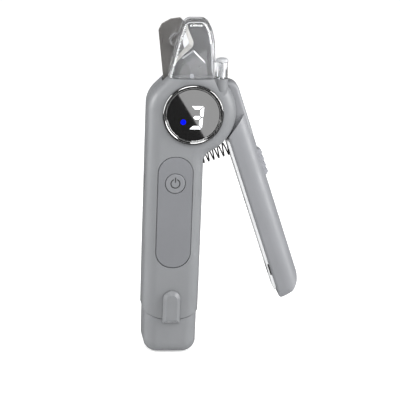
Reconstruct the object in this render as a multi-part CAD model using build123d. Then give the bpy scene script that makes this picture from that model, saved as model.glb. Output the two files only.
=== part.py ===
from build123d import *
import os
from math import cos, radians, sin, sqrt, tan

# Cordless pet nail clipper with a lit cutting head, a count display, a squeeze lever and a
# motor-driven nail grinding drum under a pull-off bottom cap.
#
# Millimetres. +Z runs up the body, the front faces -Y and the lever is on the +X side.
# The origin is the middle of the flat base of the bottom cap.

# ---- body shells -------------------------------------------------------------------------
BODY_WIDTH = 30.6        # across the straight part of the body
BASE_WIDTH = 30.0        # where the body's sides, run down to the base, have drawn in to
BODY_DEPTH = 28.0        # front to back
TAPER_Z = 90.0           # height where the sides begin to draw in
CAP_WIDTH = 28.8         # bottom cap at the seam, a small step narrower than the body
CAP_BASE_WIDTH = 28.5
BASE_CORNER = 7.2        # corner radius of the cap seen from the front
EDGE_ROUND = 7.0         # rounding between the sides and the front and back
WALL = 2.0
SEAM_Z = 19.8            # lowest point of the curved seam between the body and the bottom cap
SEAM_RADIUS = 28.0
HEAD_X = 8.3             # display centre and lever pivot, to the right of the body's middle
HEAD_Z = 134.3
HEAD_RADIUS = 23.8
HEAD_RISE = 19.0         # flat head top above the pivot
SHOULDER_RADIUS = 15.0   # left shoulder, between the side and the slope up to the head top
SHOULDER_RISE = 8.0      # start of the slope above the pivot, before its rounding
SHOULDER_SLOPE = 45.0    # degrees
NECK_RADIUS = 7.0        # hollow curve between the head and the body on the lever side
PARTING_LINE = 0.3       # width and depth of the fine line where the shells meet

# ---- clearances --------------------------------------------------------------------------
MOVING_GAP = 0.3         # between pieces that move past each other
RUNNING_FIT = 0.05       # radial, shafts and pins in their holes
SEAT_FIT = 0.05          # radial, fixed pieces in their seats

# ---- control panel and power button --------------------------------------------------------
PANEL_WIDTH = 18.6
PANEL_LOW_Z = 49.4
PANEL_HIGH_Z = 110.8
PANEL_RECESS = 1.2
PANEL_GAP = 0.35
BUTTON_Z = 96.4
BUTTON_DIAMETER = 10.6
BUTTON_PROUD = 0.2
BUTTON_TRAVEL = 0.5
BUTTON_FLANGE = 1.2      # radial width of the lip that keeps the button in
ICON_RADIUS = 2.4
ICON_LINE = 0.5
ICON_DEPTH = 0.25
SWITCH_SIDE = 6.0
SWITCH_HEIGHT = 1.1

# ---- display -------------------------------------------------------------------------------
BEZEL_DIAMETER = 32.6
BEZEL_PROUD = 1.7
BEZEL_SEAT = 1.0         # depth of the bezel's flange in the shell
BEZEL_NECK_WALL = 1.1
GLASS_DIAMETER = 27.8
GLASS_THICKNESS = 1.4
GLASS_PROUD = 1.0
DIGIT_HEIGHT = 12.5
DIGIT_WIDTH = 6.5
DIGIT_STROKE = 1.7
DIGIT_GAP = 0.52         # between two strokes' mitred ends
DIGIT_SLANT = 4.5        # degrees
DIGIT_SHIFT_X = 1.9      # digit centre from the display centre
DIGIT_SHIFT_Z = -1.3
DOT_DIAMETER = 2.8
DOT_SHIFT_X = -5.3
DOT_SHIFT_Z = -3.8
LIT_DEPTH = 0.3

# ---- bottom cap, lamp pod and grinder ------------------------------------------------------
SPIGOT_LENGTH = 7.0
SPIGOT_WALL = 1.4
CAP_TRAVEL = 32.0
POD_WIDTH = 9.4
POD_LOW_Z = 18.4
POD_HIGH_Z = 36.2
POD_PROUD = 2.8
POD_BEVEL = 1.8
POD_WALL = 1.5
LAMP_LEAD = 3.0          # hole for the grinding lamp's wires
LAMP_BOARD = 0.8         # thickness
MOTOR_DIAMETER = 20.2
MOTOR_FLAT = 15.4
MOTOR_LENGTH = 25.0
SHAFT_DIAMETER = 2.0
DRUM_DIAMETER = 13.0
DRUM_BORE = 9.0
DRUM_LENGTH = 12.0
DRUM_LOW_Z = 4.8
MOUNT_FLOOR = 3.0

# ---- battery, boards and charging socket ---------------------------------------------------
BATTERY_DIAMETER = 14.0
BATTERY_LENGTH = 49.0
BATTERY_LOW_Z = 58.0
BOARD_THICKNESS = 1.2
CHIPS = [(-3.5, 66, 4.0), (3.0, 74, 4.0), (-2.0, 84, 5.0)]   # left, bottom and side of each
CHIP_HEIGHT = 1.0
PORT_Z = 94.0
PORT_HEIGHT = 8.9
PORT_WIDTH = 3.2
PORT_DEPTH = 6.6

# ---- blades and pivot ------------------------------------------------------------------------
BLADE_THICKNESS = 2.0
BLADE_GAP = 0.3          # between the two blades
PIN_DIAMETER = 5.0
BUSH_WALL = 1.5
HUB_RADIUS = 8.5
RIVET_DIAMETER = 3.0
TIP_Z = 185.0            # top of the clear cover, the tool's full height
PADDLE_DROP = 1.2        # top of the moving blade below it
BEVEL_WIDTH = 2.2        # ground edge of the fixed blade
BEVEL_DEPTH = 1.5

# ---- lever -----------------------------------------------------------------------------------
LEVER_OPEN = 19.4        # degrees between the lever and the body at rest
LEVER_TRAVEL = 18.0      # degrees of squeeze
LEVER_INNER = 12.9       # pivot to the lever's inner face
LEVER_OUTER = 28.0       # pivot to the lever's outer edge
LEVER_TOP = 9.2          # above the pivot
LEVER_LENGTH = 116.6     # below the pivot
LEVER_DEPTH = 19.0
LEVER_BACK_ROUND = 8.8   # along the outer edge
LEVER_FRONT_ROUND = 1.5  # along the inner cover
LEVER_END_ROUND = 5.5    # front to back, at the lower end
HEEL_RISE = 4.2          # the lower end slopes up to the outer edge
HEEL_RADIUS = 10.8       # lower outer corner
TOE_RADIUS = 2.2         # lower inner corner
SHOULDER_OUT = -9.3      # shoulder at the outer edge, below the pivot
LEVER_WALL = 1.8
TONGUE_DEPTH = 11.4      # thin upper part that runs inside the head
TONGUE_RADIUS = 15.4     # inner edge of the tongue round the pivot
TONGUE_ROUND = 2.2
COVER_THICKNESS = 1.4    # lever's inner cover
COVER_WIDTH = 16.0
COVER_END = 6.0          # end of the inner cover above the lever's lower end
BUMP_Z = -98.1
BUMP_HEIGHT = 6.5
BUMP_DEPTH = 0.8         # of its bar under the inner cover
BUMP_PROUD = 0.1
BUMP_WIDTH = 6.0         # of the block that stands out of the cover
PAD_HIGH = -32.6
PAD_LOW = -47.4
PAD_WIDTH = 6.0
PAD_SEAT = 1.2
LEVER_SCREWS = [-58.0, -88.0]
ARM_END = -48.0          # lower end of the steel arm
SPRING_DROP = 27.4       # spring axis below the pivot, along the lever

# ---- spring ----------------------------------------------------------------------------------
SPRING_DIAMETER = 7.6
SPRING_WIRE = 0.8
SPRING_PITCH = 2.85
SPRING_POCKET = 8.3
SPRING_CUP = SPRING_POCKET + 2.4
SPRING_IN_LEVER = 3.0    # pocket depth from the lever's inner face
SPRING_IN_BODY = 5.0     # pocket depth from the body's side, on the spring's axis

# ---- clear cover -----------------------------------------------------------------------------
SHIELD_WALL = 1.2
SHIELD_FRONT = -12.4     # depth of its front
HINGE_X = 23.4
HINGE_Y = -8.5
BARREL_DIAMETER = 6.4
BARREL_HEIGHT = 8.4
HINGE_CAP_HEIGHT = 1.8
BOSS_DIAMETER = 7.2
HINGE_PIN_DIAMETER = 2.5
STEP_DEPTH = 3.2         # step in the head's face beside the hinge boss
STEP_LOW = 10.0          # its lower end above the pivot
STEP_RUN = 3.6           # height over which it deepens
STEP_TOP_X = 18.6
STEP_LOW_X = 23.2
LAMP_DIAMETER = 2.0
LAMP_HEIGHT = 2.3        # above the head top

# ---- screws ----------------------------------------------------------------------------------
SCREW_DIAMETER = 2.0
SCREW_HEAD = 3.8
COLUMN_DIAMETER = 5.6

FAR = 200.0              # longer than any piece, for cutting boxes

# ---- places worked out from the sizes above ------------------------------------------------
HALF = BODY_WIDTH / 2
FRONT = -BODY_DEPTH / 2
BACK = BODY_DEPTH / 2
HEAD_TOP = HEAD_Z + HEAD_RISE
LAMP_X = HEAD_X - 1.0
LAMP_Y = SHIELD_FRONT + 3.0
FIXED_BLADE_BACK = -BLADE_GAP / 2
FIXED_BLADE_FRONT = FIXED_BLADE_BACK - BLADE_THICKNESS
HOLDER_FRONT = FIXED_BLADE_FRONT - BLADE_THICKNESS
SHIELD_BACK = FIXED_BLADE_FRONT - MOVING_GAP
MOVING_BLADE_FRONT = BLADE_GAP / 2
MOVING_BLADE_BACK = MOVING_BLADE_FRONT + BLADE_THICKNESS
ARM_BACK = MOVING_BLADE_BACK + BLADE_THICKNESS
TONGUE_HALF = TONGUE_DEPTH / 2
LEVER_HALF = LEVER_DEPTH / 2
BOARD_BACK = FRONT + WALL + 4.4
POD_INSIDE = FRONT - POD_PROUD + 1.3
BATTERY_Y = BACK - WALL - 0.5 - BATTERY_DIAMETER / 2
BUTTON_LIP_BACK = FRONT + WALL + 1.2
MOTOR_LOW_Z = SEAM_Z + MOUNT_FLOOR
SWITCH_FRONT = BOARD_BACK - BOARD_THICKNESS - SWITCH_HEIGHT
SCREW_SEAT = BACK - 3.4
PIN_BOSS_FRONT = ARM_BACK + 1.2
LEVER_FACE = LEVER_INNER + COVER_THICKNESS
SHOULDER_IN = -sqrt((HEAD_RADIUS + 2 * MOVING_GAP) ** 2 - LEVER_INNER ** 2)   # clears the head
GLASS_FRONT = FRONT - GLASS_PROUD
GLASS_BACK = GLASS_FRONT + GLASS_THICKNESS
SHELL_SCREWS = [
    (-HALF + 5.4, BATTERY_LOW_Z - 4.6),
    (HALF - 5.4, BATTERY_LOW_Z - 4.6),
    (-HALF + 5.0, HEAD_Z - 21.8),
    (HEAD_X + 2.0, HEAD_Z - 17.8),
    (-HALF + 4.4, HEAD_Z - 1.0),
]
HOLDER_SCREWS = [(HEAD_X - 13.2, HEAD_Z + 11.7), (HEAD_X - 14.9, HEAD_Z - 11.0)]
BLADE_SCREWS = [(2.0, HEAD_Z + 12.2), (13.0, HEAD_Z + 12.2)]
STOP_SCREW = (11.6, TIP_Z - 26.5)
RIVETS = [(-1.6, HEAD_Z + 12.0), (5.4, HEAD_Z + 12.0)]


# ---- drawing helpers -------------------------------------------------------------------------
def slab(outline, front, back):
    """Solid of an outline drawn in X and Z, standing between two depths."""
    return Pos(0, back, 0) * extrude(Plane.XZ * outline, amount=back - front)


def rod(x, z, diameter, front, back):
    """Round bar along Y."""
    return slab(Pos(x, z) * Circle(diameter / 2), front, back)


def column(x, y, diameter, low, high):
    """Round bar along Z."""
    return Pos(x, y, (low + high) / 2) * Cylinder(diameter / 2, high - low)


def block(x0, x1, y0, y1, z0, z1):
    """Box between two corners."""
    middle = Pos((x0 + x1) / 2, (y0 + y1) / 2, (z0 + z1) / 2)
    return middle * Box(x1 - x0, y1 - y0, z1 - z0)


def round_ends(solid, radius):
    """Round the edges of a slab's front and back faces."""
    faces = solid.faces().sort_by(Axis.Y)
    return fillet(faces[0].edges() + faces[-1].edges(), radius)


def hang_on_lever(shape):
    """Swing a shape that is drawn on the pivot, with the lever straight down, to the open rest."""
    return Pos(HEAD_X, 0, HEAD_Z) * Rot(0, -LEVER_OPEN, 0) * shape


def save(name, *solids):
    """Write one node, of one solid or a group of equal pieces."""
    shape = solids[0] if len(solids) == 1 else Compound(children=list(solids))
    export_step(shape, f"parts/{name}.step")


# ---- body shells -----------------------------------------------------------------------------
def body_outline():
    """Front view of the body and the head in one outline."""
    base = BASE_WIDTH / 2
    corner = HEAD_Z + SHOULDER_RISE
    climb = HEAD_RISE
    run = climb / tan(radians(SHOULDER_SLOPE))
    crest = (-HALF + run, corner + climb)
    left = TangentArc((-HALF, TAPER_Z), (-base, 0), tangent=(0, -1))
    right = TangentArc((HALF, TAPER_Z), (base, 0), tangent=(0, -1))
    sides = Polyline((-HALF, TAPER_Z), (-HALF, corner), crest, (crest[0], HEAD_Z), (HALF, HEAD_Z),
                     (HALF, TAPER_Z))
    stem = make_face([*sides.edges(), right, Line((base, 0), (-base, 0)), left])
    shoulder = stem.vertices().sort_by_distance((-HALF, corner))[0]
    stem = fillet(shoulder, SHOULDER_RADIUS)
    crown = Pos(HEAD_X, HEAD_Z) * Circle(HEAD_RADIUS)
    crown &= Pos(FAR / 2, HEAD_Z) * Rectangle(FAR, FAR)
    outline = stem + make_hull([*crown.edges(), Line(crest, (crest[0], HEAD_Z))])
    drop = sqrt(HEAD_RADIUS ** 2 - (HALF - HEAD_X) ** 2)
    neck = outline.vertices().sort_by_distance((HALF, HEAD_Z - drop))[0]
    return fillet(neck, NECK_RADIUS)


def cap_outline():
    """Front view of the bottom cap, run on above the seam."""
    top = CAP_WIDTH / 2
    base = CAP_BASE_WIDTH / 2
    high = SEAM_Z + 25
    face = make_face(Polyline((-top, high), (top, high), (top, SEAM_Z), (base, 0), (-base, 0),
                              (-top, SEAM_Z), close=True))
    return fillet(face.vertices().group_by(Axis.Y)[0], BASE_CORNER)


OUTLINE = body_outline()
CAP_OUTLINE = cap_outline()


def form(outline, inset):
    """Rounded solid of an outline at the body's depth, drawn in on every side by the inset."""
    face = outline if inset == 0 else offset(outline, -inset)
    return round_ends(slab(face, FRONT + inset, BACK - inset), EDGE_ROUND - inset)


def body_form(inset):
    return form(OUTLINE, inset) & block(-FAR, FAR, -FAR, FAR, -FAR, HEAD_TOP - inset)


def over_seam(drop):
    """Everything above the curved seam, the seam lowered by a distance."""
    low = SEAM_Z - drop
    bowl = Pos(0, low + SEAM_RADIUS) * Circle(SEAM_RADIUS)
    bowl += Pos(0, low + SEAM_RADIUS + FAR / 2) * Rectangle(2 * FAR, FAR)
    return slab(bowl, -FAR, FAR)


ENVELOPE = body_form(0)
CAVITY = body_form(WALL)


def above(z):
    return block(-FAR, FAR, -FAR, FAR, z, 2 * FAR)


def below(z):
    return block(-FAR, FAR, -FAR, FAR, -FAR, z)


def tongue_outline(grow):
    """Thin upper part of the lever, in the lever's own frame, grown by a clearance."""
    corners = [
        (8.0, LEVER_TOP + grow),
        (LEVER_OUTER + grow, LEVER_TOP + grow),
        (LEVER_OUTER + grow, -22.0),
        (LEVER_INNER + 3.0 - grow, -30.0 - grow),
        (LEVER_INNER - grow, -24.0),
    ]
    bar = make_face(Polyline(*corners, close=True))
    if grow == 0:
        outer = bar.vertices().sort_by_distance((LEVER_OUTER, LEVER_TOP))[0]
        bar = fillet(outer, 6.0)
    return bar - Circle(TONGUE_RADIUS - grow)


def lever_sweep():
    """Room that the tongue needs inside the head over the whole squeeze."""
    steps = 12
    rest = Rot(0, 0, LEVER_OPEN)
    room = Pos(HEAD_X, HEAD_Z) * rest * tongue_outline(MOVING_GAP)
    for step in range(1, steps + 1):
        turn = Rot(0, 0, LEVER_OPEN - LEVER_TRAVEL * step / steps)
        room += Pos(HEAD_X, HEAD_Z) * turn * tongue_outline(MOVING_GAP)
    return slab(room, -TONGUE_HALF - MOVING_GAP, TONGUE_HALF + MOVING_GAP)


def spring_axis_bar(diameter, start, end):
    """Round bar on the spring's axis, in the lever's frame, between two distances from the pivot."""
    length = end - start
    bar = Pos(start + length / 2, 0, -SPRING_DROP) * Rot(0, 90, 0) * Cylinder(diameter / 2, length)
    return hang_on_lever(bar)


# distance along the spring's axis where it meets the body's straight side
SPRING_AT_BODY = (HALF - HEAD_X - SPRING_DROP * sin(radians(LEVER_OPEN))) / cos(radians(LEVER_OPEN))
SPRING_START = SPRING_AT_BODY - SPRING_IN_BODY
SPRING_END = LEVER_INNER + SPRING_IN_LEVER


def screw_columns(front, back):
    """Screw columns that stand in the cavity between two depths."""
    posts = [rod(x, z, COLUMN_DIAMETER, front, back) for x, z in SHELL_SCREWS]
    return posts[0] + posts[1:]


def head_step(wall):
    """Step in the head's face beside the hinge boss, or with a wall the body behind that step."""
    low = HEAD_Z + STEP_LOW
    deep = FRONT + STEP_DEPTH + wall
    side = make_face(Polyline((-FAR, low - wall), (FRONT, low - wall), (deep, low + STEP_RUN),
                              (deep, HEAD_TOP + 1), (-FAR, HEAD_TOP + 1), close=True))
    face = make_face(Polyline((STEP_TOP_X - wall, HEAD_TOP + 1), (STEP_LOW_X - wall, low - wall),
                              (FAR, low - wall), (FAR, HEAD_TOP + 1), close=True))
    return extrude(Plane.YZ * side, amount=FAR) & slab(face, -FAR, 0)


def shell_blank():
    """Both shells as one hollow form, with the openings that they share."""
    shell = (ENVELOPE - CAVITY) & over_seam(0)
    shell += head_step(WALL) & ENVELOPE
    shell -= head_step(0)
    shell += column(HINGE_X, HINGE_Y, BOSS_DIAMETER, HEAD_Z + STEP_LOW, HEAD_TOP)
    line = slab(OUTLINE, -PARTING_LINE / 2, PARTING_LINE / 2)
    line -= slab(offset(OUTLINE, -PARTING_LINE), -PARTING_LINE, PARTING_LINE)
    blade_slot = block(-HALF + 7.9, HEAD_X + 12.1, FIXED_BLADE_FRONT - MOVING_GAP, ARM_BACK + 0.6,
                       HEAD_TOP - 9, HEAD_TOP + 1)
    port = block(-HALF - 2, -HALF + WALL + 3, -PORT_WIDTH / 2 - 0.2, PORT_WIDTH / 2 + 0.2,
                 PORT_Z - PORT_HEIGHT / 2 - 0.2, PORT_Z + PORT_HEIGHT / 2 + 0.2)
    port = fillet(port.edges().filter_by(Axis.X), PORT_WIDTH / 2)
    seat = spring_axis_bar(SPRING_POCKET + 2.4, SPRING_START - 1.2, SPRING_AT_BODY + 6)
    pocket = spring_axis_bar(SPRING_POCKET, SPRING_START, SPRING_AT_BODY + 12)
    shell += seat & ENVELOPE
    return shell - pocket - line - blade_slot - port - lever_sweep()


BLANK = shell_blank()


def front_shell():
    shell = BLANK & block(-FAR, FAR, -FAR, 0, -FAR, FAR)
    shell += screw_columns(FRONT + WALL, 0) & CAVITY - lever_sweep()
    panel = stadium(PANEL_WIDTH / 2 + PANEL_GAP)
    shell -= slab(panel, FRONT - 1, FRONT + PANEL_RECESS)
    shell -= rod(0, BUTTON_Z, BUTTON_DIAMETER + 2 * MOVING_GAP, FRONT - 1, FRONT + WALL + 1)
    flange = BEZEL_DIAMETER + 2 * SEAT_FIT
    neck = GLASS_DIAMETER + 2 * BEZEL_NECK_WALL + 2 * SEAT_FIT
    shell -= rod(HEAD_X, HEAD_Z, flange, FRONT - 1, FRONT + BEZEL_SEAT)
    shell -= rod(HEAD_X, HEAD_Z, neck, FRONT - 1, FRONT + WALL + BOARD_THICKNESS + 0.2)
    shell -= column(LAMP_X, LAMP_Y, LAMP_DIAMETER + 2 * SEAT_FIT, HEAD_TOP - 4, HEAD_TOP + 1)
    shell -= column(HINGE_X, HINGE_Y, HINGE_PIN_DIAMETER, HEAD_TOP - 9, HEAD_TOP + 1)
    shell += board_pegs()
    shell += holder_posts()
    for x, z in SHELL_SCREWS:
        shell -= rod(x, z, SCREW_DIAMETER, FRONT + WALL + 1, 1)
    shell -= rod(0, POD_LOW_Z + 7, LAMP_LEAD, FRONT - 1, FRONT + WALL + 1)
    return shell


def stadium(half_width):
    """Long panel outline, its ends slightly flatter than half circles."""
    grow = half_width - PANEL_WIDTH / 2
    height = PANEL_HIGH_Z - PANEL_LOW_Z + 2 * grow
    middle = (PANEL_HIGH_Z + PANEL_LOW_Z) / 2
    return Pos(0, middle) * RectangleRounded(2 * half_width, height, half_width * 0.94)


def board_pegs():
    """Pegs behind the front wall that carry the main board."""
    spots = [(x, z) for x in (-5.5, 5.5) for z in (BATTERY_LOW_Z + 5, BATTERY_LOW_Z + 46)]
    pegs = [rod(x, z, 2.4, FRONT + WALL - 0.2, BOARD_BACK - BOARD_THICKNESS) for x, z in spots]
    return pegs[0] + pegs[1:]


def holder_posts():
    """Posts behind the display that carry the blade holder."""
    posts = [rod(x, z, 5.0, FRONT + WALL - 0.2, HOLDER_FRONT) for x, z in HOLDER_SCREWS]
    posts = posts[0] + posts[1:]
    for x, z in HOLDER_SCREWS:
        posts -= rod(x, z, SCREW_DIAMETER, HOLDER_FRONT - 5, HOLDER_FRONT + 1)
    return posts


def rear_shell():
    shell = BLANK & block(-FAR, FAR, 0, FAR, -FAR, FAR)
    shell += screw_columns(0, BACK - WALL) & CAVITY - lever_sweep()
    pin_boss = rod(HEAD_X, HEAD_Z, PIN_DIAMETER + 5, PIN_BOSS_FRONT, BACK - WALL / 2)
    shell += pin_boss
    for z in (BATTERY_LOW_Z + 9, BATTERY_LOW_Z + 40):
        rib = block(-HALF + WALL / 2, HALF - WALL / 2, BATTERY_Y - 1, BACK - WALL / 2, z, z + 1.5)
        shell += rib & CAVITY
    shell -= column(0, BATTERY_Y, BATTERY_DIAMETER + 2 * SEAT_FIT, BATTERY_LOW_Z, PANEL_HIGH_Z)
    shell -= rod(HEAD_X, HEAD_Z, PIN_DIAMETER, PIN_BOSS_FRONT - 1, BACK - WALL)
    for x, z in SHELL_SCREWS:
        shell -= rod(x, z, SCREW_DIAMETER + 0.3, -1, BACK + 1)
        shell -= rod(x, z, SCREW_HEAD + 0.6, SCREW_SEAT, BACK + 1)
    return shell


def shell_screws():
    """Five equal screws through the rear shell into the front shell's columns."""
    screws = []
    for x, z in SHELL_SCREWS:
        shank = rod(x, z, SCREW_DIAMETER, FRONT + WALL + 2, SCREW_SEAT)
        head = rod(x, z, SCREW_HEAD, SCREW_SEAT, SCREW_SEAT + 1.4)
        slot = block(x - 1.3, x + 1.3, SCREW_SEAT + 0.7, SCREW_SEAT + 2, z - 0.3, z + 0.3)
        cross = block(x - 0.3, x + 0.3, SCREW_SEAT + 0.7, SCREW_SEAT + 2, z - 1.3, z + 1.3)
        screws.append(shank + head - slot - cross)
    return screws


# ---- control panel, button, boards -----------------------------------------------------------
def control_panel():
    panel = slab(stadium(PANEL_WIDTH / 2), FRONT, FRONT + PANEL_RECESS)
    front = panel.faces().sort_by(Axis.Y)[0]
    panel = fillet(front.edges(), 0.4)
    return panel - rod(0, BUTTON_Z, BUTTON_DIAMETER + 2 * MOVING_GAP, FRONT - 1, FRONT + 3)


def power_icon(front):
    """Ring with a gap at the top and a short upright stroke, as grooves."""
    ring = Circle(ICON_RADIUS + ICON_LINE / 2) - Circle(ICON_RADIUS - ICON_LINE / 2)
    ring -= Pos(0, ICON_RADIUS) * Rectangle(1.9, 2.2)
    stroke = Pos(0, ICON_RADIUS - 0.4) * SlotOverall(2.8, ICON_LINE, rotation=90)
    return slab(Pos(0, BUTTON_Z) * (ring + stroke), front - 1, front + ICON_DEPTH)


def power_button():
    face = FRONT - BUTTON_PROUD
    lip_front = FRONT + WALL + MOVING_GAP
    cap = rod(0, BUTTON_Z, BUTTON_DIAMETER, face, lip_front)
    cap = fillet(cap.faces().sort_by(Axis.Y)[0].edges(), 0.5)
    lip = rod(0, BUTTON_Z, BUTTON_DIAMETER + 2 * BUTTON_FLANGE, lip_front, BUTTON_LIP_BACK)
    stem = rod(0, BUTTON_Z, 3.0, BUTTON_LIP_BACK, SWITCH_FRONT - BUTTON_TRAVEL - 0.1)
    return cap + lip + stem - power_icon(face)


def button_switch():
    """Tact switch on the main board, behind the button's stem."""
    half = SWITCH_SIDE / 2
    return block(-half, half, SWITCH_FRONT, BOARD_BACK - BOARD_THICKNESS, BUTTON_Z - half,
                 BUTTON_Z + half)


def main_board():
    low = BATTERY_LOW_Z + 1
    high = BATTERY_LOW_Z + 49
    board = block(-7.6, 7.6, BOARD_BACK - BOARD_THICKNESS, BOARD_BACK, low, high)
    return fillet(board.edges().filter_by(Axis.Y), 1.2)


def board_chips():
    """Charger, controller and driver chips on the back of the main board."""
    return [block(x, x + side, BOARD_BACK, BOARD_BACK + CHIP_HEIGHT, z, z + side)
            for x, z, side in CHIPS]


def battery():
    cell = column(0, BATTERY_Y, BATTERY_DIAMETER, BATTERY_LOW_Z, BATTERY_LOW_Z + BATTERY_LENGTH - 1)
    cell = fillet(cell.edges(), 0.8)
    button = column(0, BATTERY_Y, 5.5, BATTERY_LOW_Z + BATTERY_LENGTH - 1.05,
                    BATTERY_LOW_Z + BATTERY_LENGTH)
    return cell + button


def charge_port():
    """USB-C receptacle in the left side, on the parting line."""
    outside = -HALF + 0.6
    can = block(outside, outside + PORT_DEPTH, -PORT_WIDTH / 2, PORT_WIDTH / 2,
                PORT_Z - PORT_HEIGHT / 2, PORT_Z + PORT_HEIGHT / 2)
    can = fillet(can.edges().filter_by(Axis.X), PORT_WIDTH / 2 - 0.1)
    hole = block(outside - 1, outside + PORT_DEPTH - 1, -PORT_WIDTH / 2 + 0.3, PORT_WIDTH / 2 - 0.3,
                 PORT_Z - PORT_HEIGHT / 2 + 0.3, PORT_Z + PORT_HEIGHT / 2 - 0.3)
    hole = fillet(hole.edges().filter_by(Axis.X), PORT_WIDTH / 2 - 0.4)
    tongue = block(outside + 1, outside + PORT_DEPTH, -0.35, 0.35, PORT_Z - 3.2, PORT_Z + 3.2)
    return can - hole + tongue


def charge_board():
    """Small board that the receptacle is soldered to."""
    inner = -HALF + WALL + 0.2
    back = PORT_WIDTH / 2
    return block(inner, inner + 5.6, back, back + 0.8, PORT_Z - 8, PORT_Z + 8)


# ---- display ---------------------------------------------------------------------------------
def turned(profile):
    """Ring turned about the display's axis from (radius, depth) points."""
    face = make_face(Polyline(*[(r, y, 0) for r, y in profile], close=True))
    return Pos(HEAD_X, 0, HEAD_Z) * revolve(face, Axis.Y, 360)


def display_bezel():
    outer = BEZEL_DIAMETER / 2
    inner = GLASS_DIAMETER / 2 + SEAT_FIT
    neck = GLASS_DIAMETER / 2 + BEZEL_NECK_WALL
    crest = FRONT - BEZEL_PROUD
    return turned([
        (outer, FRONT + BEZEL_SEAT),
        (outer, crest + 0.9),
        (outer - 0.35, crest + 0.25),
        (outer - 0.8, crest),
        (outer - 1.1, crest + 0.1),
        (outer - 1.5, crest + 0.8),
        (inner + 0.35, GLASS_FRONT - 0.25),
        (inner, GLASS_FRONT),
        (inner, FRONT + WALL),
        (neck, FRONT + WALL),
        (neck, FRONT + BEZEL_SEAT),
    ])


def digit_strokes():
    """Five lit strokes of a slanted seven-segment figure three, their ends mitred."""
    high = DIGIT_HEIGHT / 2
    side = DIGIT_WIDTH / 2
    stroke = DIGIT_STROKE
    gap = DIGIT_GAP
    mitre = stroke / 2
    bar = [(-side, high), (side - gap, high), (side - stroke - gap, high - stroke),
           (-side + stroke, high - stroke)]
    upright = [(side, high - gap), (side, mitre / 2), (side - mitre, gap),
               (side - stroke, mitre + gap), (side - stroke, high - stroke - gap)]
    tip = side - mitre - gap
    middle = [(-tip, 0), (mitre - tip, mitre), (tip - mitre, mitre), (tip, 0),
              (tip - mitre, -mitre), (mitre - tip, -mitre)]
    lower = [[(x, -z) for x, z in points] for points in (bar, upright)]
    lean = tan(radians(DIGIT_SLANT))
    strokes = [make_face(Polyline(*[(x + z * lean, z) for x, z in points], close=True))
               for points in (bar, upright, middle, *lower)]
    return [Pos(HEAD_X + DIGIT_SHIFT_X, HEAD_Z + DIGIT_SHIFT_Z) * stroke for stroke in strokes]


def lit_digit():
    return [slab(stroke, GLASS_FRONT, GLASS_FRONT + LIT_DEPTH) for stroke in digit_strokes()]


def status_dot():
    return rod(HEAD_X + DOT_SHIFT_X, HEAD_Z + DOT_SHIFT_Z, DOT_DIAMETER, GLASS_FRONT,
               GLASS_FRONT + LIT_DEPTH)


def display_glass():
    glass = rod(HEAD_X, HEAD_Z, GLASS_DIAMETER, GLASS_FRONT, GLASS_BACK)
    return glass - lit_digit() - status_dot()


def display_carrier():
    """Moulded cup behind the glass that holds the display board in the bezel."""
    outer = GLASS_DIAMETER
    cup = rod(HEAD_X, HEAD_Z, outer, GLASS_BACK, FRONT + WALL)
    return cup - rod(HEAD_X, HEAD_Z, outer - 3, GLASS_BACK - 1, FRONT + WALL + 1)


def display_board():
    board = rod(HEAD_X, HEAD_Z, GLASS_DIAMETER, FRONT + WALL, FRONT + WALL + BOARD_THICKNESS)
    module = block(HEAD_X - 7.0, HEAD_X + 8.0, GLASS_BACK + 0.1, FRONT + WALL,
                   HEAD_Z - 8.5, HEAD_Z + 7.5)
    return board + module


# ---- bottom cap, lamp pod, motor and grinder -----------------------------------------------------
def bottom_cap():
    return form(CAP_OUTLINE, 0) - form(CAP_OUTLINE, WALL) - over_seam(MOVING_GAP)


def motor_mount():
    """Moulded floor of the body, with the collar that the cap slides onto and the motor's cup."""
    collar_form = form(CAP_OUTLINE, WALL + RUNNING_FIT * 2)
    collar = collar_form - form(CAP_OUTLINE, WALL + RUNNING_FIT * 2 + SPIGOT_WALL)
    collar &= above(SEAM_Z - SPIGOT_LENGTH) & below(SEAM_Z + 1)
    floor = collar_form & above(SEAM_Z) & below(MOTOR_LOW_Z)
    cup = column(0, 0, MOTOR_DIAMETER + 3.2, MOTOR_LOW_Z, MOTOR_LOW_Z + 8) & collar_form
    mount = collar + floor + cup - motor_can_form(SEAT_FIT)
    return mount - column(0, 0, 8.0, SEAM_Z - 1, MOTOR_LOW_Z + 1)


def motor_can_form(grow):
    can = column(0, 0, MOTOR_DIAMETER + 2 * grow, MOTOR_LOW_Z, MOTOR_LOW_Z + MOTOR_LENGTH)
    flat = MOTOR_FLAT / 2 + grow
    return can & block(-FAR, FAR, -flat, flat, -FAR, FAR)


def motor():
    can = motor_can_form(0)
    boss = column(0, 0, 6.0, MOTOR_LOW_Z - 1.6, MOTOR_LOW_Z)
    tail = column(0, 0, 8.0, MOTOR_LOW_Z + MOTOR_LENGTH, MOTOR_LOW_Z + MOTOR_LENGTH + 1.4)
    bore = column(0, 0, SHAFT_DIAMETER + 2 * RUNNING_FIT, MOTOR_LOW_Z - 2, MOTOR_LOW_Z + 24)
    return can + boss + tail - bore


def motor_shaft():
    return column(0, 0, SHAFT_DIAMETER, DRUM_LOW_Z + 1.5, MOTOR_LOW_Z + 22)


def drum_hub():
    """Moulded core on the motor shaft that carries the abrasive sleeve."""
    low = DRUM_LOW_Z + 0.4
    high = DRUM_LOW_Z + DRUM_LENGTH
    hub = column(0, 0, DRUM_BORE, low, high) + column(0, 0, DRUM_DIAMETER - 1, high, high + 1.0)
    hub -= column(0, 0, SHAFT_DIAMETER, DRUM_LOW_Z + 1.5, high + 2)
    return hub - column(0, 0, SCREW_DIAMETER, low - 1, DRUM_LOW_Z + 1.5)


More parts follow.
